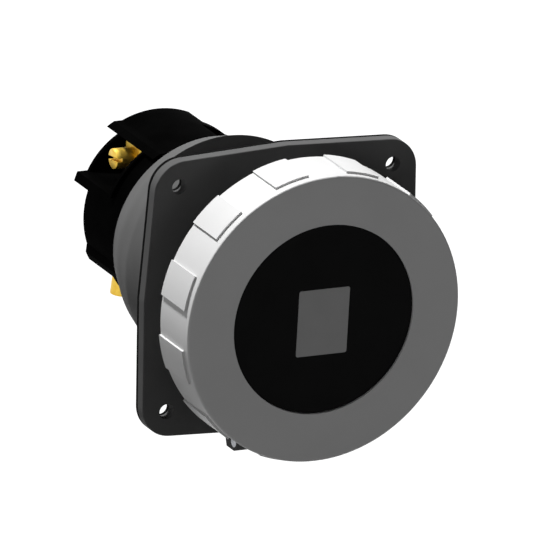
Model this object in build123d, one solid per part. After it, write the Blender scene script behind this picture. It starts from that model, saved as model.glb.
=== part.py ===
from build123d import *
from collections import namedtuple
from math import cos, radians, sin
import os

# A round pin-and-sleeve power socket for panel fixing, 3 poles and earth, with a hinged lid and locking ring.
# Frame: +Z up, the socket faces -Y, and the origin is the centre of the panel face that the gasket lies on.
# Sizes are in millimetres. Clock angles are in degrees, clockwise from the top as seen from the front.

# Flange and gasket
flange_half_at_middle = 67.2
flange_half_at_corner = 64.3
flange_corner_r = 14.5
flange_t = 5.2
flange_edge_r = 0.5
gasket_t = 2.0
hole_spacing = 106.0
hole_r = 3.5
gasket_window_clearance = 0.8

# Collar and its tail behind the flange
collar_bore_r = 46.0
collar_wall = 3.5
collar_height = 33.5
collar_edge_r = 0.8
tail_length = 20.0
ledge_depth = 14.0
ledge_t = 4.0
ledge_under_face = 2.2
key_groove_width = 10.0
key_groove_depth = 1.8

# Locking ring
ring_wall = 3.2
ring_length = 28.0
ring_front_wall = 5.0
ring_hole_r = 44.4
ring_edge_r = 1.0
pad_count = 12
pad_rise = 1.0
pad_width = 14.0
pad_front_margin = 4.5

# Bayonet: lugs on the ring, cams on the collar
bayonet_count = 3
lug_tip_clearance = 3.0
lug_width = 14.0
lug_t = 4.0
lug_setback = 1.0
cam_rise = 6.0
cam_width = 26.0
cam_t = 5.0
cam_ramp = 2.0
cam_clearance = 0.4
cam_gap = 3.5
stop_gap = 0.4
stop_width = 3.5
ring_turn = 28.0

# Lid
lid_clearance = 0.3
lid_recess = 0.9
lid_skin = 3.0
lid_pocket_r = 38.0
lid_rim_clearance = 2.3
lid_rim_t = 3.3
lid_gasket_t = 3.1
lid_gasket_groove = 0.8
lid_gasket_overhang = 0.8
lid_gasket_side_clearance = 0.1
label_width = 25.0
label_height = 31.0
label_t = 0.6
label_sunk = 0.4
label_drop = 1.3
label_corner_r = 1.0
retainer_t = 2.0
retainer_width = 6.4
retainer_groove = 0.7
retainer_play = 0.1
retainer_split = 10.0
retainer_to_arm = 2.0

# Hinge
hinge_below_edge = 0.2
hinge_behind_ring = 3.3
knuckle_r = 4.1
pin_r = 2.5
pin_clearance = 0.05
ear_inner = 17.9
ear_t = 5.4
ear_root_rise = 10.4
ear_heel = 2.3
knuckle_side_gap = 0.4
arm_width = 24.0
arm_t = 4.2
arm_to_collar = 2.3

# Socket face, the insert that the plug's pins go into
shroud_gap = 5.6
face_setback = 5.5
face_plate_t = 3.5
spigot_clearance = 0.2
spigot_wall = 1.4
tube_wall = 1.5
tube_bore_r = 9.6
tube_neck_step = 0.6
tube_neck_clearance = 0.1
pilot_tube_r = 7.5
pilot_tube_bore_r = 4.8
face_screw_radius = 26.0
face_screw_r = 2.0
face_screw_head_r = 4.0
face_screw_sink = 0.3
face_screw_key_r = 1.45
face_screw_key_depth = 1.6
face_screw_grip = 16.0
spacer_bore_clearance = 0.2
boss_r = 5.5

# Contacts
pole_to_face_edge = 15.0
phase_angle = 85.0
phase_pin_r = 5.0
earth_pin_r = 6.0
pilot_pin_r = 3.0
pin_fit = 0.05
entry_clearance = 0.6
sleeve_wall = 2.2
sleeve_setback = 4.0
pilot_setback = 14.0
pilot_wall = 1.15
sleeve_floor = 3.0
sleeve_slot = 1.0
sleeve_slot_length = 30.0
shoulder_r = 10.3
shoulder_t = 2.0
shoulder_clearance = 0.1
shank_r = 5.0
shank_clearance = 0.3
spring_offset = 6.0
spring_width = 3.0
spring_t = 1.0
spring_split = 24.0
pilot_shank_r = 2.5
pilot_tail_r = 3.9
pilot_tail_length = 10.0
pilot_shoulder_r = 5.6
pilot_screw_r = 1.65
pilot_screw_length = 7.0
pilot_screw_head_r = 3.2
pilot_screw_head_t = 2.2

# Contact carrier behind the panel
seal_t = 1.5
carrier_clearance = 4.5
carrier_skin = 2.7
carrier_flange_clearance = 0.8
carrier_flange_t = 4.0
carrier_rear = 109.3
tower_height = 14.4
carrier_tube_r = 8.5
carrier_pilot_tube_r = 6.0
tower_chamber_length = 33.8
low_chamber_length = 22.4
chamber_floor = 3.0
closed_chamber_end = 6.9
chamber_width = 20.0
chamber_end_gap = 9.5
tower_side = 15.9
inner_fin_t = 4.2
outer_fin_t = 2.25
outer_fin_rise = 1.8
outer_fin_lead = 8.4
rim_t = 2.0
rear_plate_t = 2.5
rear_plate_r = 36.9
wire_entry_r = 8.5
pilot_pocket_r = 5.5
pilot_pocket_depth = 17.3

# Terminal blocks and their screws
block_size = 15.0
block_reach = 19.1
block_setback = 5.4
block_edge = 0.8
block_shank_depth = 2.6
wire_bore_r = 6.0
terminal_screw_r = 4.7
terminal_screw_length = 21.0
screw_slot_width = 1.6
screw_slot_depth = 2.5
screw_edge = 0.6
screw_reach = 28.7
loose_screw_reach = 36.5

# Rear shell
shell_gap = 7.7
shell_shoulder_step = 1.4
shell_shoulder_y = 35.5
shell_shoulder_round = 20.0
shell_waist_step = 4.5
shell_waist_y = 50.8
shell_rear_wall = 3.3
shell_rear = 66.0
shell_wall = 3.0
shell_bore_clearance = 2.5
shell_lip_t = 4.0
shell_hub_t = 4.0
shell_hub_clearance = 0.15
notch_front = 22.0
notch_rear = 51.1
notch_floor = 44.2
notch_wall = 2.2
snap_count = 4
snap_width = 20.0
snap_rise = 0.8
snap_length = 2.5
locating_ring_length = 4.0

# Radii and places across the axis that follow from the sizes above
collar_r = collar_bore_r + collar_wall
face_r = collar_bore_r - shroud_gap
ledge_hole_r = face_r - ledge_under_face
pole_radius = face_r - pole_to_face_edge
retainer_bore_r = collar_r + arm_to_collar + arm_t + retainer_to_arm
retainer_r = retainer_bore_r + retainer_width
ring_inner_r = retainer_r + retainer_play - retainer_groove
ring_r = ring_inner_r + ring_wall
lug_tip_r = collar_r + lug_tip_clearance
lid_boss_r = ring_hole_r - lid_clearance
lid_rim_r = ring_inner_r - lid_rim_clearance
carrier_r = collar_bore_r - carrier_clearance
outer_fin_r = carrier_r + outer_fin_rise
carrier_flange_r = collar_bore_r - carrier_flange_clearance
shell_front_r = collar_r + shell_gap
shell_shoulder_r = shell_front_r - shell_shoulder_step
shell_waist_r = shell_front_r - shell_waist_step
shell_bore_r = carrier_r + shell_bore_clearance
shell_rear_r = shell_bore_r + shell_rear_wall
hinge_drop = flange_half_at_middle + hinge_below_edge
ear_root_height = hinge_drop - ear_root_rise
arm_z = -(collar_r + arm_to_collar)

# Stations along Y that follow, from the flange forwards to the lid and back to the terminals
flange_back = -gasket_t
flange_front = flange_back - flange_t
collar_front = flange_front - collar_height
tail_back = flange_back + tail_length
ledge_back = flange_front + ledge_depth + ledge_t
ledge_front = ledge_back - ledge_t
rim_back = collar_front - lid_gasket_t + lid_gasket_groove
rim_front = rim_back - lid_rim_t
ring_wall_back = rim_front - lid_clearance
ring_front = ring_wall_back - ring_front_wall
ring_back = ring_front + ring_length
boss_front = ring_front + lid_recess
retainer_front = rim_back + lid_clearance
retainer_back = retainer_front + retainer_t
lug_back = ring_back - lug_setback
lug_front = lug_back - lug_t
cam_back = lug_front - cam_clearance
hinge_y = ring_back + hinge_behind_ring + knuckle_r
face_front = collar_front + face_setback
plate_back = face_front + face_plate_t
seal_back = ledge_back + seal_t
shoulder_front = seal_back - shoulder_t
tower_rear = carrier_rear + tower_height
tower_chamber_front = tower_rear - rear_plate_t - tower_chamber_length
low_chamber_front = carrier_rear - rear_plate_t - low_chamber_length
carrier_cavity_end = low_chamber_front - chamber_floor
outer_fin_front = low_chamber_front - outer_fin_lead

# Poles: clock angle, pin radius, rear end of the terminal chamber and how far its screw reaches out.
# The chamber of an open pole is also cut through the edge of its rear plate.
Pole = namedtuple("Pole", "angle pin rear reach open")
poles = {
    "l1": Pole(-phase_angle, phase_pin_r, carrier_rear, loose_screw_reach, True),
    "l2": Pole(0, phase_pin_r, tower_rear, screw_reach, True),
    "l3": Pole(phase_angle, phase_pin_r, carrier_rear, screw_reach, False),
    "earth": Pole(180, earth_pin_r, tower_rear, screw_reach, True),
}


def prism(sketch, back, front):
    """A front-view sketch made solid from y = back forwards to y = front."""
    return extrude(Plane.XZ.offset(-back) * sketch, amount=back - front, dir=(0, -1, 0))


def cross_prism(sketch, left, right):
    """A side-view sketch, drawn with y and z, made solid from x = left to x = right."""
    return extrude(Plane.YZ.offset(left) * sketch, amount=right - left, dir=(1, 0, 0))


def disc(radius, back, front):
    return prism(Circle(radius), back, front)


def tube(outer, inner, back, front):
    return prism(Circle(outer) - Circle(inner), back, front)


def turned(*points):
    """A solid of revolution about the socket's axis from (radius, y) points."""
    return revolve(make_face(Polyline(*points, close=True)), Axis.Y)


def clocked(shape, angle):
    return Rot(0, angle, 0) * shape


def clock_place(radius, angle):
    return Pos(radius * sin(radians(angle)), radius * cos(radians(angle)))


def front_rect(low_x, high_x, low_z, high_z):
    centre = Pos((low_x + high_x) / 2, (low_z + high_z) / 2)
    return centre * Rectangle(high_x - low_x, high_z - low_z)


def sector(outer, inner, width):
    """A piece of a ring centred on the top, width degrees wide."""
    reach = 2 * outer
    half = radians(width / 2)
    wedge = Polygon((0, 0), (-reach * sin(half), reach * cos(half)),
                    (reach * sin(half), reach * cos(half)), align=None)
    return (Circle(outer) - Circle(inner)) & wedge


def flange_outline():
    """A square whose sides are each two straight runs that meet in the middle, with round corners."""
    middle = flange_half_at_middle
    corner = flange_half_at_corner
    outline = Polygon((middle, 0), (corner, corner), (0, middle), (-corner, corner),
                      (-middle, 0), (-corner, -corner), (0, -middle), (corner, -corner), align=None)
    corners = [v for v in outline.vertices() if abs(abs(v.X) - abs(v.Y)) < 0.01]
    return fillet(corners, flange_corner_r)


def hole_places():
    return GridLocations(hole_spacing, hole_spacing, 2, 2)


def collar_cam():
    """One bayonet cam at the top: its back has a ramp where the lug arrives, and a stop at its far end."""
    width = cam_width
    start = lug_width / 2 + cam_gap
    body = prism(sector(collar_r + cam_rise, collar_bore_r + collar_wall / 2, width), cam_back, cam_back - cam_t)
    half_chord = (collar_r + cam_rise) * sin(radians(width / 2))
    ramp = Polygon((-half_chord - 1, cam_back + 1), (0, cam_back + 1), (0, cam_back),
                   (-half_chord - 1, cam_back - cam_ramp), align=None)
    body -= Pos(0, 0, collar_r + 0.2) * extrude(ramp, amount=2 * cam_rise)
    stop = prism(sector(collar_r + cam_rise, collar_bore_r + collar_wall / 2, stop_width), lug_back, cam_back - cam_t)
    stop_angle = ring_turn + lug_width / 2 + stop_gap + stop_width / 2
    return clocked(body, start + width / 2) + clocked(stop, stop_angle)


def hinge_ear():
    """One ear: a root on the flange's face, a heel below its edge and a round nose about the pin."""
    bottom = -hinge_drop - knuckle_r
    heel = flange_front - ear_heel
    flange_edge = -flange_half_at_middle + 1
    plate = Polygon((flange_front, -ear_root_height), (flange_front, flange_edge), (heel, bottom),
                    (hinge_y, bottom), (hinge_y - knuckle_r, -hinge_drop),
                    (hinge_y, -hinge_drop + knuckle_r), align=None)
    nose = Pos(hinge_y, -hinge_drop) * Circle(knuckle_r)
    hole = Pos(hinge_y, -hinge_drop) * Circle(pin_r)
    return cross_prism(plate + nose - hole, ear_inner, ear_inner + ear_t)


def flange_housing():
    plate = prism(flange_outline() - Circle(collar_bore_r), flange_back, flange_front)
    front_edges = plate.faces().sort_by(Axis.Y)[0].outer_wire().edges()
    plate = fillet(front_edges, flange_edge_r)
    body = plate + tube(collar_r, collar_bore_r, tail_back, collar_front)
    rim = body.faces().sort_by(Axis.Y)[0].edges()
    body = fillet(rim, collar_edge_r)
    body += tube(collar_bore_r + collar_wall / 2, ledge_hole_r, ledge_back, ledge_front)
    for index in range(bayonet_count):
        body += clocked(collar_cam(), index * 360 / bayonet_count)
    snap = prism(sector(collar_r + snap_rise, collar_r - 1, snap_width),
                 flange_back + shell_hub_t + snap_length, flange_back + shell_hub_t)
    for index in range(snap_count):
        body += clocked(snap, 45 + index * 360 / snap_count)
    ear = hinge_ear()
    body += ear + mirror(ear, Plane.YZ)
    for place in hole_places():
        body -= prism(place * Circle(hole_r), flange_back, flange_front)
    groove = front_rect(-key_groove_width / 2, key_groove_width / 2, -collar_bore_r - key_groove_depth, -face_r)
    return body - prism(groove, ledge_front, collar_front)


def panel_gasket():
    sheet = flange_outline() - Circle(shell_front_r + gasket_window_clearance)
    for place in hole_places():
        sheet -= place * Circle(hole_r)
    return prism(sheet, 0, flange_back)


def ring_pad():
    return prism(sector(ring_r + pad_rise, ring_r - 1, pad_width), ring_back, ring_front + pad_front_margin)


def locking_ring():
    groove_r = ring_inner_r + retainer_groove
    body = turned((ring_hole_r, ring_front), (ring_r, ring_front), (ring_r, ring_back),
                  (ring_inner_r, ring_back), (ring_inner_r, retainer_back + retainer_play),
                  (groove_r, retainer_back + retainer_play), (groove_r, retainer_front - retainer_play),
                  (ring_inner_r, retainer_front - retainer_play), (ring_inner_r, ring_wall_back),
                  (ring_hole_r, ring_wall_back))
    outer_edge = body.faces().sort_by(Axis.Y)[0].edges().sort_by(SortBy.RADIUS)[-1]
    body = fillet(outer_edge, ring_edge_r)
    for index in range(pad_count):
        body += clocked(ring_pad(), (index + 0.5) * 360 / pad_count)
    lug = prism(sector(ring_inner_r + 1, lug_tip_r, lug_width), lug_back, lug_front)
    for index in range(bayonet_count):
        body += clocked(lug, index * 360 / bayonet_count)
    return body


def ring_retainer():
    ring = Circle(retainer_r) - Circle(retainer_bore_r)
    split = Rot(0, 0, -60) * sector(2 * retainer_r, 1, retainer_split)
    return prism(ring - split, retainer_back, retainer_front)


def lid_arm():
    """The arm goes back inside the locking ring, then down behind its edge to the knuckle on the pin."""
    outer = arm_z - arm_t
    arm = Polygon((rim_back - 1, arm_z), (hinge_y + knuckle_r, arm_z), (hinge_y + knuckle_r, -hinge_drop),
                  (hinge_y - knuckle_r, -hinge_drop), (hinge_y - knuckle_r, outer), (rim_back - 1, outer),
                  align=None)
    centre = Pos(hinge_y, -hinge_drop)
    barrel_end = ear_inner - knuckle_side_gap
    blade = cross_prism(arm, -arm_width / 2, arm_width / 2)
    barrel = cross_prism(centre * Circle(knuckle_r), -barrel_end, barrel_end)
    bore = cross_prism(centre * Circle(pin_r + pin_clearance), -barrel_end, barrel_end)
    return blade + barrel - bore


def label_sketch():
    return Pos(0, -label_drop) * RectangleRounded(label_width, label_height, label_corner_r)


def lid():
    skin_back = boss_front + lid_skin
    body = turned((0, boss_front), (lid_boss_r, boss_front), (lid_boss_r, rim_front), (lid_rim_r, rim_front),
                  (lid_rim_r, rim_back), (lid_pocket_r, rim_back), (lid_pocket_r, skin_back), (0, skin_back))
    body += lid_arm()
    side = lid_gasket_overhang + lid_gasket_side_clearance
    body -= tube(collar_r + side, collar_bore_r - side, rim_back, rim_back - lid_gasket_groove)
    return body - prism(label_sketch(), boss_front + label_sunk, boss_front)


def lid_label():
    back = boss_front + label_sunk
    return prism(label_sketch(), back, back - label_t)


def lid_gasket():
    front = rim_back - lid_gasket_groove
    return tube(collar_r + lid_gasket_overhang, collar_bore_r - lid_gasket_overhang, collar_front, front)


def hinge_pin():
    end = ear_inner + ear_t
    return cross_prism(Pos(hinge_y, -hinge_drop) * Circle(pin_r), -end, end)


def pole_places():
    return [clock_place(pole_radius, pole.angle) for pole in poles.values()]


def face_screw_places():
    return [clock_place(face_screw_radius, 45 + 90 * index) for index in range(4)]


def at_face_screws(shape):
    return [Pos(place.position.X, 0, place.position.Y) * shape for place in face_screw_places()]


def socket_face():
    """A flat plate that the tubes' necks stand in, countersunk for the screws that pull it back."""
    body = disc(face_r, plate_back, face_front)
    for place in pole_places():
        body -= prism(place * Circle(tube_bore_r + tube_wall - tube_neck_step + tube_neck_clearance),
                      plate_back, face_front)
    body -= disc(pilot_tube_r - tube_neck_step + tube_neck_clearance, plate_back, face_front)
    rim_r = face_screw_head_r + face_screw_sink
    hole = turned((0, face_front), (rim_r, face_front), (face_screw_r, face_front + rim_r - face_screw_r),
                  (face_screw_r, plate_back), (0, plate_back))
    for cut in at_face_screws(hole):
        body -= cut
    return body


def face_skirt():
    """The wall between the face plate and the ledge, with a spigot that centres it in the ledge's hole."""
    spigot_r = ledge_hole_r - spigot_clearance
    body = disc(face_r, ledge_front, plate_back) + disc(spigot_r, seal_back, ledge_front)
    return body - disc(spigot_r - spigot_wall, seal_back, plate_back)


def insulating_tube(outer, bore, entry, recess):
    """A tube with a neck through the face plate, and a recess for its contact's shoulder."""
    body = disc(outer, seal_back, plate_back) + disc(outer - tube_neck_step, plate_back, face_front)
    body -= disc(bore, seal_back, plate_back)
    body -= disc(entry, plate_back, face_front)
    return body - disc(recess, seal_back, shoulder_front)


def insulating_tubes():
    tubes = []
    for pole in poles.values():
        body = insulating_tube(tube_bore_r + tube_wall, tube_bore_r, pole.pin + entry_clearance,
                               shoulder_r + shoulder_clearance)
        tubes.append(clocked(Pos(0, 0, pole_radius) * body, pole.angle))
    return tubes


def pilot_tube():
    return insulating_tube(pilot_tube_r, pilot_tube_bore_r, pilot_pin_r + entry_clearance,
                           pilot_shoulder_r + shoulder_clearance)


def face_spacers():
    return at_face_screws(tube(boss_r, face_screw_r + spacer_bore_clearance, seal_back, plate_back))


def face_seal():
    return tube(collar_bore_r - spigot_clearance, ledge_hole_r, seal_back, ledge_back)


def face_screw():
    """A long countersunk screw with a hexagon recess, from the face plate into the carrier."""
    head = face_front + face_screw_sink
    body = turned((0, head), (face_screw_head_r, head), (face_screw_r, head + face_screw_head_r - face_screw_r),
                  (face_screw_r, seal_back + face_screw_grip), (0, seal_back + face_screw_grip))
    return body - prism(RegularPolygon(face_screw_key_r, 6), head + face_screw_key_depth, head)


def face_screws():
    return at_face_screws(face_screw())


def block_centre(pole):
    return pole.rear - rear_plate_t - block_setback - block_size / 2


def chamber_front(pole):
    return tower_chamber_front if pole.rear == tower_rear else low_chamber_front


def chamber(pole):
    """A terminal chamber at the top, open to the left, with a hole for the wire in its rear plate."""
    low = pole_radius - chamber_width / 2
    high = pole_radius + chamber_width / 2
    reach = -2 * carrier_r
    back = pole.rear - (rear_plate_t if pole.open else closed_chamber_end)
    room = prism(front_rect(reach, chamber_end_gap, low, high), back, chamber_front(pole))
    opening = Pos(0, pole_radius) * Circle(wire_entry_r)
    if pole.open:
        opening += front_rect(reach, 0, low, high) - Circle(rear_plate_r)
    return room + prism(opening, pole.rear, back)


def chamber_fins(pole):
    """The outer fin above a top chamber and the raised rim in front of its window."""
    low = pole_radius - chamber_width / 2
    high = pole_radius + chamber_width / 2
    fin_top = high + outer_fin_t
    front = chamber_front(pole)
    fin = front_rect(-outer_fin_r, -tower_side, high, fin_top) & Circle(outer_fin_r)
    rim = front_rect(-outer_fin_r, -tower_side, low, fin_top) & (Circle(outer_fin_r) - Circle(carrier_r - 1))
    return prism(fin, pole.rear, outer_fin_front) + prism(rim, front, front - rim_t)


def tower():
    """The taller housing of a top or bottom pole, behind the carrier's rear face."""
    low = pole_radius - chamber_width / 2 - inner_fin_t
    outline = front_rect(-carrier_r, tower_side, low, carrier_r) & Circle(carrier_r)
    return prism(outline, tower_rear, carrier_rear)


def carrier_core():
    """The hollow between the carrier's skin, its contact sockets and its screw bosses."""
    core = Circle(carrier_r - carrier_skin) - Circle(carrier_pilot_tube_r)
    for place in pole_places():
        core -= place * Circle(carrier_tube_r)
    for place in face_screw_places():
        core -= place * Circle(boss_r)
    return core


def contact_carrier():
    body = disc(carrier_r, carrier_rear, seal_back)
    body += disc(carrier_flange_r, seal_back + carrier_flange_t, seal_back)
    body += disc(shell_bore_r - spigot_clearance, shell_rear, shell_rear - locating_ring_length)
    for pole in poles.values():
        if pole.rear == tower_rear:
            body += clocked(tower(), pole.angle)
        body += clocked(chamber_fins(pole), pole.angle)
    body -= prism(carrier_core(), carrier_cavity_end, seal_back)
    shank_hole = Pos(0, pole_radius) * Circle(shank_r + shank_clearance)
    for pole in poles.values():
        body -= clocked(chamber(pole), pole.angle)
        body -= clocked(prism(shank_hole, chamber_front(pole), seal_back), pole.angle)
    body -= disc(pilot_shank_r + shank_clearance, carrier_rear, seal_back)
    body -= disc(pilot_pocket_r, carrier_rear, carrier_rear - pilot_pocket_depth)
    for place in face_screw_places():
        body -= prism(place * Circle(face_screw_r), seal_back + face_screw_grip + 1, seal_back)
    return body


def contact(pole):
    """A turned contact at the top: slit sleeve, shoulder and shank, which ends in its terminal block."""
    bore = pole.pin + pin_fit
    sleeve_r = bore + sleeve_wall
    sleeve_front = face_front + sleeve_setback
    shank_end = block_centre(pole) - block_size / 2 + block_shank_depth
    body = turned((0, shoulder_front - sleeve_floor), (bore, shoulder_front - sleeve_floor),
                  (bore, sleeve_front), (sleeve_r, sleeve_front), (sleeve_r, shoulder_front),
                  (shoulder_r, shoulder_front), (shoulder_r, seal_back), (shank_r, seal_back),
                  (shank_r, shank_end), (0, shank_end))
    slit = front_rect(-sleeve_slot / 2, sleeve_slot / 2, -2 * sleeve_r, 2 * sleeve_r)
    slit += front_rect(-2 * sleeve_r, 2 * sleeve_r, -sleeve_slot / 2, sleeve_slot / 2)
    body -= prism(slit, sleeve_front + sleeve_slot_length, sleeve_front)
    return Pos(0, 0, pole_radius) * body


def sleeve_spring(pole):
    sleeve_r = pole.pin + pin_fit + sleeve_wall
    split = Rot(0, 0, 45) * sector(2 * sleeve_r, 1, spring_split)
    ring = Circle(sleeve_r + spring_t) - Circle(sleeve_r) - split
    front = face_front + sleeve_setback + spring_offset
    return Pos(0, 0, pole_radius) * prism(ring, front + spring_width, front)


def terminal_block(pole):
    """A machined block at the top: wire bore from behind, shank hole in front, screw hole from the left."""
    centre = block_centre(pole)
    half = block_size / 2
    outline = front_rect(-block_reach, half, pole_radius - half, pole_radius + half)
    body = chamfer(prism(outline, centre + half, centre - half).edges(), block_edge)
    axis = Pos(0, pole_radius)
    body -= prism(axis * Circle(wire_bore_r), centre + half, centre - half + block_shank_depth)
    body -= prism(axis * Circle(shank_r), centre - half + block_shank_depth, centre - half)
    screw_hole = Pos(centre, pole_radius) * Circle(terminal_screw_r)
    return body - cross_prism(screw_hole, -block_reach, 0)


def terminal_screw(pole):
    """A slotted screw without a head, its slotted end to the left of the top pole."""
    profile = Pos(block_centre(pole), pole_radius) * Circle(terminal_screw_r)
    body = cross_prism(profile, -pole.reach, terminal_screw_length - pole.reach)
    body = chamfer(body.edges().filter_by(GeomType.CIRCLE), screw_edge)
    slot = Pos(-pole.reach, block_centre(pole), pole_radius)
    return body - slot * Box(2 * screw_slot_depth, screw_slot_width, 3 * terminal_screw_r)


def pilot_contact():
    bore = pilot_pin_r + pin_fit
    front = face_front + pilot_setback
    tail_end = carrier_rear - pilot_screw_head_t - 3
    tail_front = tail_end - pilot_tail_length
    body = turned((0, shoulder_front - sleeve_floor), (bore, shoulder_front - sleeve_floor), (bore, front),
                  (bore + pilot_wall, front), (bore + pilot_wall, shoulder_front),
                  (pilot_shoulder_r, shoulder_front), (pilot_shoulder_r, seal_back),
                  (pilot_shank_r, seal_back), (pilot_shank_r, tail_front), (pilot_tail_r, tail_front),
                  (pilot_tail_r, tail_end), (0, tail_end))
    return body - disc(pilot_screw_r, tail_end, tail_end - pilot_screw_length)


def pilot_screw():
    head_front = carrier_rear - pilot_screw_head_t - 3
    head = disc(pilot_screw_head_r, head_front + pilot_screw_head_t, head_front)
    slot = prism(Rectangle(3 * pilot_screw_head_r, pilot_screw_r / 2),
                 head_front + pilot_screw_head_t, head_front + pilot_screw_head_t / 2)
    return head - slot + disc(pilot_screw_r, head_front, head_front - pilot_screw_length)


def shell_profile(inset, front):
    """The shell's half section, moved in by inset, as a face from the axis outwards."""
    shoulder = (shell_shoulder_r - inset, shell_shoulder_y)
    face = Polygon((0, front), (shell_front_r - inset, front), shoulder, (shell_waist_r - inset, shell_waist_y),
                   (shell_rear_r - inset, shell_rear), (0, shell_rear), align=None)
    return fillet(face.vertices().sort_by_distance(shoulder)[0], shell_shoulder_round - inset)


def rear_shell():
    """A rounded cone with a flat notch in its top, a hub on the housing's tail and a bore at the rear."""
    reach = 2 * shell_front_r
    hub_back = flange_back + shell_hub_t
    outer = revolve(shell_profile(0, flange_back), Axis.Y)
    outer -= prism(front_rect(-reach, reach, notch_floor, reach), notch_rear, notch_front)
    inner = revolve(shell_profile(shell_wall, hub_back), Axis.Y)
    inner -= disc(reach, shell_rear, shell_rear - shell_lip_t)
    inner -= prism(front_rect(-reach, reach, notch_floor - notch_wall, reach),
                   notch_rear + notch_wall, notch_front - notch_wall)
    body = outer - inner
    body -= disc(collar_r + shell_hub_clearance, hub_back, flange_back)
    return body - disc(shell_bore_r, shell_rear, shell_rear - shell_lip_t)


def save(name, solids):
    part = solids if isinstance(solids, list) else [solids]
    export_step(Compound(children=[solid for shape in part for solid in shape.solids()]), f"parts/{name}.step")


def main():
    os.makedirs("parts", exist_ok=True)
    save("flange_housing", flange_housing())
    save("panel_gasket", panel_gasket())
    save("rear_shell", rear_shell())
    save("socket_face", socket_face())
    save("face_skirt", face_skirt())
    save("face_spacers", face_spacers())
    save("insulating_tubes", insulating_tubes())
    save("pilot_tube", pilot_tube())
    save("face_seal", face_seal())
    save("face_screws", face_screws())
    save("contact_carrier", contact_carrier())
    for name, pole in poles.items():
        save(f"contact_{name}", clocked(contact(pole), pole.angle))
        save(f"terminal_block_{name}", clocked(terminal_block(pole), pole.angle))
    save("sleeve_springs", [clocked(sleeve_spring(pole), pole.angle) for pole in poles.values()])
    save("terminal_screws", [clocked(terminal_screw(pole), pole.angle) for pole in poles.values()])
    save("pilot_contact", pilot_contact())
    save("pilot_screw", pilot_screw())
    save("hinge_pin", hinge_pin())
    save("lid", lid())
    save("lid_label", lid_label())
    save("lid_gasket", lid_gasket())
    save("locking_ring", locking_ring())
    save("ring_retainer", ring_retainer())


main()
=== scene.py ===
import math

import bmesh
import bpy
from mathutils import Matrix, Vector


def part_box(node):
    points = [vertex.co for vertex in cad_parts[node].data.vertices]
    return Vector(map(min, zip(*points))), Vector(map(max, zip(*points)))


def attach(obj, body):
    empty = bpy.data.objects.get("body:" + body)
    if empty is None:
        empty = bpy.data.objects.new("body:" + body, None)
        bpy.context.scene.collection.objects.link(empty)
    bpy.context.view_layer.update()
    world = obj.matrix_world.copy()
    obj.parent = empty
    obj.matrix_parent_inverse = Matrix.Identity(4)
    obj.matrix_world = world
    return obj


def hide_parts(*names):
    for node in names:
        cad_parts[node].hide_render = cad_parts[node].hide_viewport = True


# The looks of a panel socket with a hinged lid: moulded plastics, rubber seals and brass terminals.
# Everything is in metres in the part's frame: +Z up, the socket faces -Y, the panel face is at y = 0.

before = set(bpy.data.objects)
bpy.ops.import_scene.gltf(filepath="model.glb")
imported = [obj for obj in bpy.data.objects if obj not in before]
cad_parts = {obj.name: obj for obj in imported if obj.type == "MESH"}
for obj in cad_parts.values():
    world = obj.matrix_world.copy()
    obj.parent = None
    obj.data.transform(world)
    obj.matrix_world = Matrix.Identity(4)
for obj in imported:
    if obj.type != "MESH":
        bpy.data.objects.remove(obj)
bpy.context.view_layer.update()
MM = 0.001


# Colours and nodes


def linear(hex_colour):
    """An sRGB hex value as the linear colour that the shaders take."""
    channels = [int(hex_colour[i:i + 2], 16) / 255 for i in (1, 3, 5)]
    return tuple(c / 12.92 if c <= 0.04045 else ((c + 0.055) / 1.055) ** 2.4 for c in channels) + (1.0,)


def put(tree, kind, sockets=None, **settings):
    """Adds a node: settings are its own properties, sockets are values or other nodes' outputs."""
    made = tree.nodes.new(kind)
    for name, value in settings.items():
        setattr(made, name, value)
    for name, value in (sockets or {}).items():
        if isinstance(value, bpy.types.NodeSocket):
            tree.links.new(value, made.inputs[name])
        else:
            made.inputs[name].default_value = value
    return made


def new_material(name):
    material = bpy.data.materials.new(name)
    material.use_nodes = True
    tree = material.node_tree
    tree.nodes.clear()
    place = put(tree, "ShaderNodeTexCoord").outputs["Object"]
    return material, tree, place


def finish_material(material, tree, **sockets):
    """Joins the shader to the output. The names of its sockets are written with underscores."""
    values = {name.replace("_", " "): value for name, value in sockets.items()}
    shader = put(tree, "ShaderNodeBsdfPrincipled", values)
    put(tree, "ShaderNodeOutputMaterial", {"Surface": shader.outputs["BSDF"]})
    return material


def grain(tree, place, size_mm, detail=2.0, stretch=(1, 1, 1)):
    """Noise whose spots are about size_mm across."""
    turned = put(tree, "ShaderNodeMapping", {"Vector": place, "Scale": stretch})
    noise = put(tree, "ShaderNodeTexNoise",
                {"Vector": turned.outputs["Vector"], "Scale": 1 / (size_mm * MM), "Detail": detail})
    return noise.outputs["Fac"]


NOISE_LOW, NOISE_HIGH = 0.35, 0.65


def between(tree, amount, low, high):
    """Spreads the range in which most of a noise lies over low to high."""
    ends = {"From Min": NOISE_LOW, "From Max": NOISE_HIGH, "To Min": low, "To Max": high}
    spread = put(tree, "ShaderNodeMapRange", {"Value": amount, **ends})
    return spread.outputs["Result"]


def tint(tree, amount, first, second):
    """A colour that wanders from first to second with a noise."""
    share = between(tree, amount, 0.0, 1.0)
    mix = put(tree, "ShaderNodeMix", data_type="RGBA")
    tree.links.new(share, mix.inputs["Factor"])
    mix.inputs[6].default_value = linear(first)
    mix.inputs[7].default_value = linear(second)
    return mix.outputs[2]


def soft_edges(tree, radius_mm):
    """Normals of a surface whose sharp edges have a small moulded or tumbled radius."""
    return put(tree, "ShaderNodeBevel", {"Radius": radius_mm * MM}, samples=4).outputs["Normal"]


def bumps(tree, height, depth_mm, strength, normal):
    """Normals with the fine relief of a noise or a wave on them."""
    bump = put(tree, "ShaderNodeBump",
               {"Height": height, "Distance": depth_mm * MM, "Strength": strength, "Normal": normal})
    return bump.outputs["Normal"]


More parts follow.
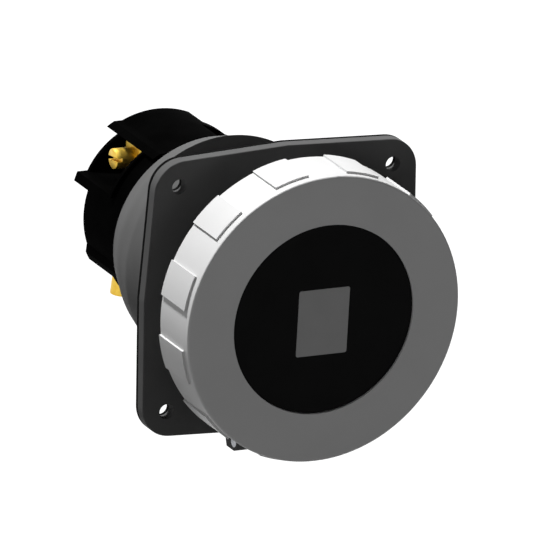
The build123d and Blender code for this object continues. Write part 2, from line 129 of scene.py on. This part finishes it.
def seen_directly(tree):
    """1 for what the camera, a reflection or a clear part sees, and 0 for the light on the object."""
    rays = put(tree, "ShaderNodeLightPath")
    seen = rays.outputs["Is Camera Ray"]
    for kind in ("Is Glossy Ray", "Is Transmission Ray"):
        either = put(tree, "ShaderNodeMath", {0: seen, 1: rays.outputs[kind]}, operation="MAXIMUM")
        seen = either.outputs[0]
    return seen


# Materials, one function for each real one


def eroded_polyamide():
    """Glass-filled polyamide from a spark-eroded mould: dark grey, dull, with a fine even grain."""
    material, tree, place = new_material("eroded_polyamide")
    spark_grain = grain(tree, place, 0.35, 3.0)
    cloud = grain(tree, place, 22.0)
    return finish_material(
        material, tree, Base_Color=tint(tree, cloud, "#5B5B5B", "#606060"),
        Roughness=between(tree, spark_grain, 0.56, 0.66), Specular_IOR_Level=0.03,
        Normal=bumps(tree, spark_grain, 0.02, 0.35, soft_edges(tree, 0.35)))


def pale_polyamide():
    """The locking ring's pale grey polyamide: smoother than the flange, with a soft shine."""
    material, tree, place = new_material("pale_polyamide")
    skin = grain(tree, place, 0.6, 2.0)
    cloud = grain(tree, place, 30.0)
    return finish_material(
        material, tree, Base_Color=tint(tree, cloud, "#D4D4D4", "#D8D8D8"),
        Roughness=between(tree, skin, 0.42, 0.52), Specular_IOR_Level=0.25,
        Normal=bumps(tree, skin, 0.015, 0.25, soft_edges(tree, 0.3)))


def black_moulding():
    """Black thermoset of the carrier, the face plate and the tubes: deep, dull and slightly uneven."""
    material, tree, place = new_material("black_moulding")
    pores = grain(tree, place, 0.25, 3.0)
    flow = grain(tree, place, 14.0, 3.0)
    return finish_material(
        material, tree, Base_Color=tint(tree, flow, "#020202", "#040404"),
        Roughness=between(tree, pores, 0.5, 0.62), Specular_IOR_Level=0.001,
        Normal=bumps(tree, pores, 0.015, 0.3, soft_edges(tree, 0.25)))


def lid_plastic():
    """The lid's near-black disc, from a finer mould than the flange."""
    material, tree, place = new_material("lid_plastic")
    skin = grain(tree, place, 0.3, 2.0)
    cloud = grain(tree, place, 18.0)
    return finish_material(
        material, tree, Base_Color=tint(tree, cloud, "#171717", "#1A1A1A"),
        Roughness=between(tree, skin, 0.5, 0.6), Specular_IOR_Level=0.02,
        Normal=bumps(tree, skin, 0.015, 0.3, soft_edges(tree, 0.3)))


def label_film():
    """A bare matt polyester label: flat, even and a little silvery."""
    material, tree, place = new_material("label_film")
    mat_lacquer = grain(tree, place, 0.2, 2.0)
    cloud = grain(tree, place, 9.0)
    return finish_material(
        material, tree, Base_Color=tint(tree, cloud, "#B3B3B3", "#B6B6B6"),
        Roughness=between(tree, mat_lacquer, 0.5, 0.58), Specular_IOR_Level=0.15,
        Normal=bumps(tree, mat_lacquer, 0.005, 0.2, soft_edges(tree, 0.15)))


def seal_rubber():
    """Moulded black rubber: no shine, a powdery bloom and a coarse soft skin."""
    material, tree, place = new_material("seal_rubber")
    bloom = grain(tree, place, 6.0, 4.0)
    skin = grain(tree, place, 0.5, 3.0)
    return finish_material(
        material, tree, Base_Color=tint(tree, bloom, "#050505", "#0B0B0B"),
        Roughness=between(tree, skin, 0.78, 0.9), Specular_IOR_Level=0.03,
        Normal=bumps(tree, skin, 0.03, 0.4, soft_edges(tree, 0.3)))


FEED_MARK_MM = 0.3
WAVES_A_METRE = 3.14


def turned_brass():
    """Free-cutting brass off the lathe: yellow, a faint tarnish and a feed mark each 0.3 mm.

    A wave texture of scale 1 has about 3.14 bands to the metre.
    """
    material, tree, place = new_material("turned_brass")
    feed_scale = 1 / (FEED_MARK_MM * MM) / WAVES_A_METRE
    feed = put(tree, "ShaderNodeTexWave", {"Vector": place, "Scale": feed_scale, "Distortion": 0.6},
               wave_type="BANDS", bands_direction="Y")
    tarnish = grain(tree, place, 5.0, 4.0)
    return finish_material(
        material, tree, Base_Color=tint(tree, tarnish, "#E9C85A", "#DDB648"),
        Metallic=1.0, Roughness=between(tree, tarnish, 0.38, 0.5),
        Normal=bumps(tree, feed.outputs["Fac"], 0.004, 0.15, soft_edges(tree, 0.2)))


def zinc_steel():
    """Dulled zinc-plated steel of the screws and the pin: cold grey with a soft crystalline cloud."""
    material, tree, place = new_material("zinc_steel")
    crystals = grain(tree, place, 1.2, 3.0)
    return finish_material(
        material, tree, Base_Color=tint(tree, crystals, "#97999D", "#8B8D91"),
        Metallic=1.0, Roughness=between(tree, crystals, 0.32, 0.45),
        Normal=bumps(tree, crystals, 0.004, 0.3, soft_edges(tree, 0.2)))


def spring_steel():
    """Blue-grey hardened strip of the spring rings, drawn along its length."""
    material, tree, place = new_material("spring_steel")
    drawn = grain(tree, place, 0.8, 3.0, (1, 8, 1))
    return finish_material(
        material, tree, Base_Color=tint(tree, drawn, "#8D9198", "#7E828A"),
        Metallic=1.0, Roughness=between(tree, drawn, 0.25, 0.38),
        Normal=bumps(tree, drawn, 0.003, 0.3, soft_edges(tree, 0.1)))


FLOOR_PAINT = 0.13
FLOOR_GLOW = 0.96
WHITE = (1, 1, 1, 1)


def floor_material():
    """A pale floor that is white to the eye and in reflections, and still takes a faint shadow."""
    material, tree, _ = new_material("pale_floor")
    seen = seen_directly(tree)
    paint = put(tree, "ShaderNodeBsdfDiffuse", {"Color": (FLOOR_PAINT, FLOOR_PAINT, FLOOR_PAINT, 1)})
    glow = put(tree, "ShaderNodeEmission", {"Color": WHITE, "Strength": FLOOR_GLOW})
    both = put(tree, "ShaderNodeAddShader", {0: paint.outputs[0], 1: glow.outputs[0]})
    mixed = put(tree, "ShaderNodeMixShader", {0: seen, 1: paint.outputs[0], 2: both.outputs[0]})
    put(tree, "ShaderNodeOutputMaterial", {"Surface": mixed.outputs[0]})
    return material


# Pieces that are finer than the solids


def to_object(mesh_work, name, body, material, smooth_angle):
    """Turns a finished bmesh into a piece that rides on a body. Edges past smooth_angle stay sharp."""
    bmesh.ops.recalc_face_normals(mesh_work, faces=mesh_work.faces)
    mesh = bpy.data.meshes.new(name)
    mesh_work.to_mesh(mesh)
    mesh_work.free()
    for face in mesh.polygons:
        face.use_smooth = True
    mesh.set_sharp_from_angle(angle=math.radians(smooth_angle))
    piece = bpy.data.objects.new(name, mesh)
    bpy.context.scene.collection.objects.link(piece)
    mesh.materials.append(material)
    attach(piece, body)
    return piece


SCREW_RADIUS = 4.7 * MM
SCREW_LENGTH = 21.0 * MM
THREADED_LENGTH = 8.5 * MM
THREAD_PITCH = 1.25 * MM
THREAD_DEPTH = 0.62 * MM
SLOT_WIDTH = 1.6 * MM
SLOT_DEPTH = 2.5 * MM
END_CHAMFER = 0.6 * MM
STEPS_A_TURN = 32
# Half widths of the thread's ridge as shares of its pitch, and how deep it sits in the core
THREAD_FOOT = 0.44
THREAD_CREST = 0.07
THREAD_SINK = 0.05 * MM
CORE_OVERLAP = 0.1 * MM
SLOT_EDGE_ROUND = 0.25 * MM
CORE_SEGMENTS = 48
SHANK_SEGMENTS = 64
SAME_HEIGHT = 0.01 * MM
SAME_PLACE = 0.0001 * MM


def once(items):
    """Each item once, in the order in which it first comes."""
    return list(dict.fromkeys(items))


def thread_ridge(work):
    """The thread: a closed ridge wound round the core, along +Z from the point to the plain shank."""
    root = SCREW_RADIUS - THREAD_DEPTH
    foot = THREAD_PITCH * THREAD_FOOT
    crest = THREAD_PITCH * THREAD_CREST
    start = END_CHAMFER
    inside = root - THREAD_SINK
    corners = [(inside, -foot), (SCREW_RADIUS, -crest), (SCREW_RADIUS, crest), (inside, foot)]
    ring = [work.verts.new((radius, 0, start + foot + along)) for radius, along in corners]
    edges = [work.edges.new((ring[i], ring[(i + 1) % 4])) for i in range(4)]
    turns = (THREADED_LENGTH - 2 * foot - start) / THREAD_PITCH
    steps = int(turns * STEPS_A_TURN)
    wound = bmesh.ops.spin(work, geom=ring + edges, cent=(0, 0, 0), axis=(0, 0, 1),
                           dvec=(0, 0, THREAD_PITCH / STEPS_A_TURN),
                           angle=steps * 2 * math.pi / STEPS_A_TURN, steps=steps, use_merge=False,
                           use_duplicate=False, use_normal_flip=False)
    last = [item for item in wound["geom_last"] if isinstance(item, bmesh.types.BMEdge)]
    for loop in (edges, last):
        bmesh.ops.contextual_create(work, geom=loop)


def round_bar(work, radius, start, end, segments):
    """A capped cylinder along Z. Gives its vertices."""
    lift = Matrix.Translation((0, 0, (start + end) / 2))
    return bmesh.ops.create_cone(work, cap_ends=True, segments=segments, radius1=radius, radius2=radius,
                                 depth=end - start, matrix=lift)["verts"]


def ease_rim(work, verts, height, size):
    """Bevels the edges of these vertices that lie at one height."""
    rim = once(edge for vert in verts for edge in vert.link_edges
               if all(abs(v.co.z - height) < SAME_HEIGHT for v in edge.verts))
    bmesh.ops.bevel(work, geom=rim, offset=size, segments=2, profile=0.5,
                    affect="EDGES", material=-1)


def threaded_core(work):
    """The core under the thread, with a chamfered point."""
    top = THREADED_LENGTH + CORE_OVERLAP
    core = round_bar(work, SCREW_RADIUS - THREAD_DEPTH, 0, top, CORE_SEGMENTS)
    ease_rim(work, core, 0, END_CHAMFER)


def slotted_shank(work):
    """The plain shank: its end is cut in three, and the outer parts are raised beside the slot."""
    slot_floor = SCREW_LENGTH - SLOT_DEPTH
    shank = round_bar(work, SCREW_RADIUS, THREADED_LENGTH, slot_floor, SHANK_SEGMENTS)
    parts = once(face for vert in shank for face in vert.link_faces
                 if face.calc_center_median().z > slot_floor - SAME_HEIGHT)
    for side in (-1, 1):
        edges = once(edge for face in parts for edge in face.edges)
        verts = once(vert for face in parts for vert in face.verts)
        cut = bmesh.ops.bisect_plane(work, geom=parts + edges + verts, dist=SAME_PLACE,
                                     plane_co=(side * SLOT_WIDTH / 2, 0, 0), plane_no=(1, 0, 0))
        parts = once(item for item in cut["geom"] if isinstance(item, bmesh.types.BMFace))
    cheeks = [face for face in parts if abs(face.calc_center_median().x) > SLOT_WIDTH / 2]
    raised = bmesh.ops.extrude_face_region(work, geom=cheeks)["geom"]
    bmesh.ops.delete(work, geom=cheeks, context="FACES_ONLY")
    top = [item for item in raised if isinstance(item, bmesh.types.BMVert)]
    bmesh.ops.translate(work, verts=top, vec=(0, 0, SLOT_DEPTH))
    ease_rim(work, top, SCREW_LENGTH, SLOT_EDGE_ROUND)


def block_middle(node):
    """Where along Y a terminal block has its screw."""
    low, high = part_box(node)
    return (low.y + high.y) / 2


POLE_RADIUS = 25.4 * MM
# Clock angle, how far out the slotted end stands and how far the slot is turned
SCREWS = {"l1": (-85, 36.5 * MM, -35), "l2": (0, 28.7 * MM, 8),
          "l3": (85, 28.7 * MM, 62), "earth": (180, 28.7 * MM, 25)}


def threaded_screws(brass):
    """The four terminal screws, each wound in its block with its slot outwards."""
    work = bmesh.new()
    for pole, (clock, reach, slot_turn) in SCREWS.items():
        single = bmesh.new()
        thread_ridge(single)
        threaded_core(single)
        slotted_shank(single)
        driven = Matrix.Rotation(math.radians(slot_turn), 4, "Z")
        along = Matrix.Rotation(math.radians(-90), 4, "Y")
        middle = block_middle("terminal_block_" + pole)
        seat = Matrix.Translation((SCREW_LENGTH - reach, middle, POLE_RADIUS))
        turn = Matrix.Rotation(math.radians(clock), 4, "Y")
        bmesh.ops.transform(single, matrix=turn @ seat @ along @ driven, verts=single.verts)
        mesh = bpy.data.meshes.new("single_screw")
        single.to_mesh(mesh)
        single.free()
        work.from_mesh(mesh)
        bpy.data.meshes.remove(mesh)
    piece = to_object(work, "threaded_terminal_screws", "housing", brass, smooth_angle=40)
    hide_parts("terminal_screws")


RING_STEPS = 160


def spun_ring(work, points):
    """Spins a closed outline of (radius, y) points about the socket's axis."""
    ring = [work.verts.new((radius, y, 0)) for radius, y in points]
    edges = [work.edges.new((ring[i], ring[(i + 1) % len(ring)])) for i in range(len(ring))]
    bmesh.ops.spin(work, geom=ring + edges, cent=(0, 0, 0), axis=(0, 1, 0), angle=2 * math.pi,
                   steps=RING_STEPS, use_merge=True, use_duplicate=False)


SEAL_WIDTH = 5.1 * MM
SEAL_LIP = 1.5 * MM
SEAL_VALLEY = 0.35 * MM
SEAL_STEPS = 14
SEAL_EDGE_DROP = 0.3


def lid_seal(rubber):
    """The lid's rubber ring, with two rounded lips that meet the collar's edge and a valley between."""
    low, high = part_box("lid_gasket")
    outer = high.x
    inner = outer - SEAL_WIDTH
    front, back = low.y, high.y
    outline = [(inner, front), (inner, back - SEAL_LIP / 2)]
    for step in range(SEAL_STEPS + 1):
        across = step / SEAL_STEPS
        dip = SEAL_VALLEY * (1 - math.cos(4 * math.pi * across)) / 2
        edge = SEAL_LIP / 2 * (2 * abs(across - 0.5)) ** 6
        reach = back - SEAL_VALLEY + dip - edge * SEAL_EDGE_DROP
        outline.append((inner + (outer - inner) * across, reach))
    outline += [(outer, back - SEAL_LIP / 2), (outer, front)]
    work = bmesh.new()
    spun_ring(work, outline)
    piece = to_object(work, "lid_seal", "lid", rubber, smooth_angle=50)
    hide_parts("lid_gasket")


DOUBLES = 0.001 * MM
SLIVERS = 0.005 * MM
WALL_SLOPE = 0.6


def barrel_shell(grey):
    """The rear shell, with its tapers shaded as one moulded barrel and its end walls flat."""
    work = bmesh.new()
    work.from_mesh(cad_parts["rear_shell"].data)
    bmesh.ops.remove_doubles(work, verts=work.verts, dist=DOUBLES)
    bmesh.ops.dissolve_degenerate(work, edges=work.edges, dist=SLIVERS)
    piece = to_object(work, "barrel_shell", "housing", grey, smooth_angle=32)
    for face in piece.data.polygons:
        face.use_smooth = abs(face.normal.y) < WALL_SLOPE
    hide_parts("rear_shell")


# Stage


def open_lid_low():
    """The lowest height that the lid and its ring reach when they swing down about the hinge."""
    pin_low, pin_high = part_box("hinge_pin")
    ring_low, ring_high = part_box("locking_ring")
    hinge = (pin_low + pin_high) / 2
    return hinge.z - math.hypot(ring_high.z - hinge.z, ring_low.y - hinge.y)


FLOOR_REACH = 40.0
FLOOR_GAP = 2 * MM


def floor(material):
    """A wide floor under the socket, which a panel holds up, and clear of its open lid."""
    work = bmesh.new()
    bmesh.ops.create_grid(work, x_segments=1, y_segments=1, size=FLOOR_REACH,
                          matrix=Matrix.Translation((0, 0, open_lid_low() - FLOOR_GAP)))
    mesh = bpy.data.meshes.new("floor")
    work.to_mesh(mesh)
    work.free()
    plane = bpy.data.objects.new("floor", mesh)
    bpy.context.scene.collection.objects.link(plane)
    mesh.materials.append(material)


AMBIENT = 0.07
KEY_LEVEL = 1.57
KEY_FROM = Vector((-0.188, 0.44, 0.878))
KEY_SOFTNESS = 8
FILL_LEVEL = 0.08
FILL_FROM = Vector((-0.85, -0.5, 0.15))
FILL_SOFTNESS = 30


def lamp(name, level, source, softness):
    """A sun that lights a white face square to it with this level. Softness is in degrees."""
    light = bpy.data.lights.new(name, "SUN")
    light.energy = level * math.pi
    light.angle = math.radians(softness)
    shining = bpy.data.objects.new(name, light)
    shining.rotation_mode = "QUATERNION"
    shining.rotation_quaternion = source.to_track_quat("Z", "Y")
    bpy.context.scene.collection.objects.link(shining)


def lights():
    """A key from above and behind keeps the front in even shade. A weak fill comes from the left."""
    lamp("key", KEY_LEVEL, KEY_FROM, KEY_SOFTNESS)
    lamp("fill", FILL_LEVEL, FILL_FROM, FILL_SOFTNESS)
    world = bpy.data.worlds.new("studio")
    world.use_nodes = True
    bpy.context.scene.world = world
    tree = world.node_tree
    tree.nodes.clear()
    seen = seen_directly(tree)
    level = put(tree, "ShaderNodeMapRange", {"Value": seen, "To Min": AMBIENT, "To Max": 1.0})
    sky = put(tree, "ShaderNodeBackground", {"Color": WHITE, "Strength": level.outputs["Result"]})
    put(tree, "ShaderNodeOutputWorld", {"Surface": sky.outputs[0]})


# The picture's height at the socket, how far the camera sees, what it aims at, and its own axes
PICTURE_HEIGHT = 240.7 * MM
SENSOR_SIZE = 36
CAMERA_DISTANCE = 8.0
NEAREST = 1.0
FURTHEST = 100.0
FLANGE_FRONT_CENTRE = Vector((0, -7.2 * MM, 0))
AIM_LEFT = 5.616 * MM
AIM_UP = 7.911 * MM
RIGHT = Vector((0.8967, -0.4393, 0.0549))
UP = Vector((0.0983, 0.3184, 0.9428))
BACK = Vector((-0.4317, -0.8400, 0.3287))


def camera():
    """A far camera with a long lens: the photograph's view is almost without perspective."""
    data = bpy.data.cameras.new("camera")
    data.sensor_width = SENSOR_SIZE
    data.lens = SENSOR_SIZE * CAMERA_DISTANCE / PICTURE_HEIGHT
    data.clip_start = NEAREST
    data.clip_end = FURTHEST
    view = bpy.data.objects.new("camera", data)
    aim = FLANGE_FRONT_CENTRE - AIM_LEFT * RIGHT + AIM_UP * UP
    turn = Matrix((RIGHT, UP, BACK)).transposed().normalized()
    view.matrix_world = Matrix.Translation(aim + CAMERA_DISTANCE * BACK) @ turn.to_4x4()
    bpy.context.scene.collection.objects.link(view)
    bpy.context.scene.camera = view


def paint(material, *nodes):
    """Gives CAD nodes their material."""
    for name in nodes:
        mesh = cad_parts[name].data
        mesh.materials.clear()
        mesh.materials.append(material)


def main():
    camera()
    lights()
    bpy.context.scene.view_settings.view_transform = "Standard"
    floor(floor_material())
    grey = eroded_polyamide()
    black = black_moulding()
    rubber = seal_rubber()
    brass = turned_brass()
    paint(grey, "flange_housing")
    paint(black, "contact_carrier", "socket_face", "face_skirt", "face_spacers")
    paint(black, "insulating_tubes", "pilot_tube")
    paint(pale_polyamide(), "locking_ring", "ring_retainer")
    paint(lid_plastic(), "lid")
    paint(label_film(), "lid_label")
    paint(rubber, "panel_gasket", "face_seal")
    paint(brass, "pilot_contact", "pilot_screw")
    for pole in SCREWS:
        paint(brass, "contact_" + pole, "terminal_block_" + pole)
    paint(zinc_steel(), "hinge_pin", "face_screws")
    paint(spring_steel(), "sleeve_springs")
    threaded_screws(brass)
    lid_seal(rubber)
    barrel_shell(grey)


main()
